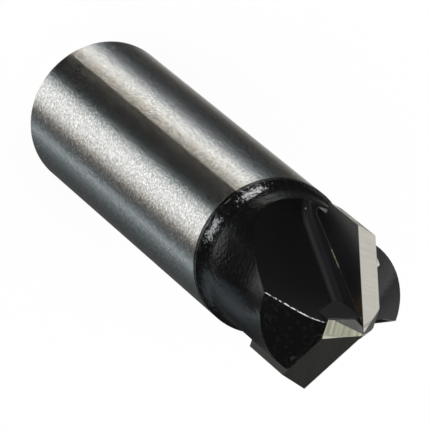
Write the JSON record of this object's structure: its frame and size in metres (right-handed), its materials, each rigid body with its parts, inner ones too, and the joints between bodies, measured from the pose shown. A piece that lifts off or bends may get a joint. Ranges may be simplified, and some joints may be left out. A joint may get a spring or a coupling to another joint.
{
  "type": "v groove router bit",
  "caption": "Straight-shank V groove cutter: ground cylindrical shank, black milled head with flutes, brazed carbide wings ground to a V point.",
  "frame": {"origin": "centre of the flat end of the shank, on the axis of rotation", "axes": "+Z along the axis from the shank to the cutting point; +X through the cutting corner of wing a, whose rake face lies in the plane y = 0 and faces +Y"},
  "size_m": [0.0126, 0.012, 0.0507],
  "materials": {
    "body_steel": "ground shank, gloss black coated head",
    "carbide": "ground tungsten carbide",
    "braze": "satin silver braze"
  },
  "bodies": {
    "root": {"bit_body": "body_steel", "carbide_tip_a": "carbide", "carbide_tip_b": "carbide", "braze_joint_a": "braze", "braze_joint_b": "braze"}
  },
  "joints": []
}
